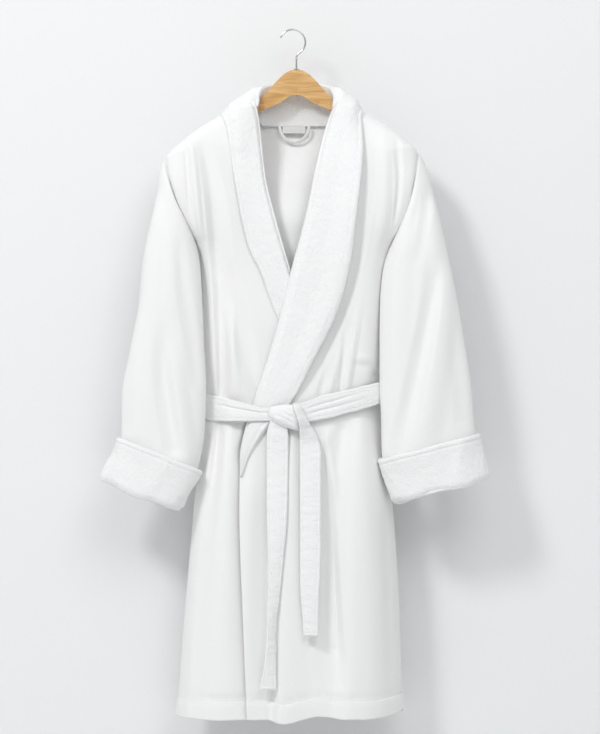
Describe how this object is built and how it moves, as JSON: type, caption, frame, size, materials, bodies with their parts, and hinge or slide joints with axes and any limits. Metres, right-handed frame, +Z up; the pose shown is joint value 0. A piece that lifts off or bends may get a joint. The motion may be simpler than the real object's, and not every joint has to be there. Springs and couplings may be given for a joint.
{
  "type": "bathrobe on hanger",
  "caption": "White lined wrap bathrobe with terry shawl collar, turned-back cuffs and tied belt, hung on a contoured wooden hanger with a swivel hook.",
  "frame": {"origin": "on the axis of the hook's stem, level with the inner top of the hook where it rests on a rail or peg", "axes": "+Z up, the wearer's front faces -Y, the wearer's left is +X"},
  "size_m": [0.7632, 0.1771, 1.345],
  "materials": {
    "shell_cloth": "soft woven",
    "lining_cloth": "smooth knit",
    "terry": "looped pile",
    "tape": "woven tape",
    "label_tape": "satin tape",
    "hanger_wood": "satin varnish",
    "hook_steel": "polished"
  },
  "bodies": {
    "robe": {"hanger_arm_left": "hanger_wood", "hanger_arm_right": "hanger_wood", "hook_bush": "hook_steel", "back_panel": "shell_cloth", "front_panel_left": "shell_cloth", "front_panel_right": "shell_cloth", "back_lining": "lining_cloth", "front_lining_left": "lining_cloth", "front_lining_right": "lining_cloth", "collar_left": "terry", "collar_right": "terry", "collar_stand": "terry", "hem_band_back": "terry", "hem_band_left": "terry", "hem_band_right": "terry", "belt_band": "terry", "belt_knot": "terry", "belt_loop_left": "shell_cloth", "belt_loop_right": "shell_cloth", "neck_label": "label_tape", "care_label": "label_tape"},
    "hook": {"hanger_hook": "hook_steel", "hook_washer": "hook_steel"},
    "sleeve_left": {"sleeve_left": "shell_cloth", "sleeve_lining_left": "lining_cloth"},
    "sleeve_right": {"sleeve_right": "shell_cloth", "sleeve_lining_right": "lining_cloth"},
    "cuff_left": {"cuff_left": "terry"},
    "cuff_right": {"cuff_right": "terry"},
    "belt_end_left": {"belt_tail_left": "terry"},
    "belt_end_right": {"belt_tail_right": "terry"},
    "hanging_loop": {"hanging_loop": "tape"}
  },
  "joints": [
    {"name": "hook_swivel", "type": "hinge", "parent": "robe", "child": "hook", "pos_m": [0, 0, -0.088], "axis": [0, 0, 1], "continuous": true},
    {"name": "sleeve_left_swing", "type": "hinge", "parent": "robe", "child": "sleeve_left", "pos_m": [0.233, -0.017, -0.2455], "axis": [0, -1, 0], "range_deg": [0, 60]},
    {"name": "sleeve_right_swing", "type": "hinge", "parent": "robe", "child": "sleeve_right", "pos_m": [-0.251, -0.017, -0.2515], "axis": [0, 1, 0], "range_deg": [0, 60]},
    {"name": "cuff_left_turn_down", "type": "slide", "parent": "sleeve_left", "child": "cuff_left", "axis": [0.2588, 0, -0.9659], "range_m": [0, 0.08]},
    {"name": "cuff_right_turn_down", "type": "slide", "parent": "sleeve_right", "child": "cuff_right", "axis": [-0.3746, 0, -0.9272], "range_m": [0, 0.08]},
    {"name": "belt_end_left_swing", "type": "hinge", "parent": "robe", "child": "belt_end_left", "pos_m": [0.028, -0.0837, -0.7862], "axis": [-1, 0, 0], "range_deg": [0, 75]},
    {"name": "belt_end_right_swing", "type": "hinge", "parent": "robe", "child": "belt_end_right", "pos_m": [-0.037, -0.0839, -0.7862], "axis": [-1, 0, 0], "range_deg": [0, 75]},
    {"name": "hanging_loop_fold", "type": "hinge", "parent": "robe", "child": "hanging_loop", "pos_m": [-0.004, 0.025, -0.19], "axis": [-1, 0, 0], "range_deg": [0, 130]}
  ]
}
